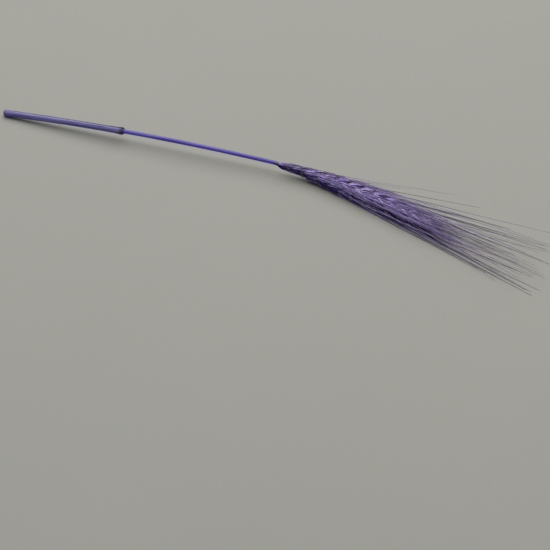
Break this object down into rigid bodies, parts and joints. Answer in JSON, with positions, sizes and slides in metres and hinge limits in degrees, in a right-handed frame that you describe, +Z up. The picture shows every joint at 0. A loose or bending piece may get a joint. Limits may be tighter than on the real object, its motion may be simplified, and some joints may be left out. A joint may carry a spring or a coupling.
{
  "type": "wheat ear",
  "caption": "Dyed, dried ear of bearded wheat on a cut straw with its leaf sheath, lying on a surface with its long awns fanned out.",
  "frame": {"origin": "on the surface that the ear lies on, under the middle of its box", "axes": "+Z up, +X along the straw from its cut end towards the tips of the awns"},
  "size_m": [0.285, 0.0416, 0.0141],
  "materials": {
    "straw": "satin",
    "sheath": "matte",
    "husk": "matte",
    "awn": "matte"
  },
  "bodies": {
    "root": {"stem": "straw", "leaf_sheath": "sheath", "ear": "husk"}
  },
  "joints": []
}
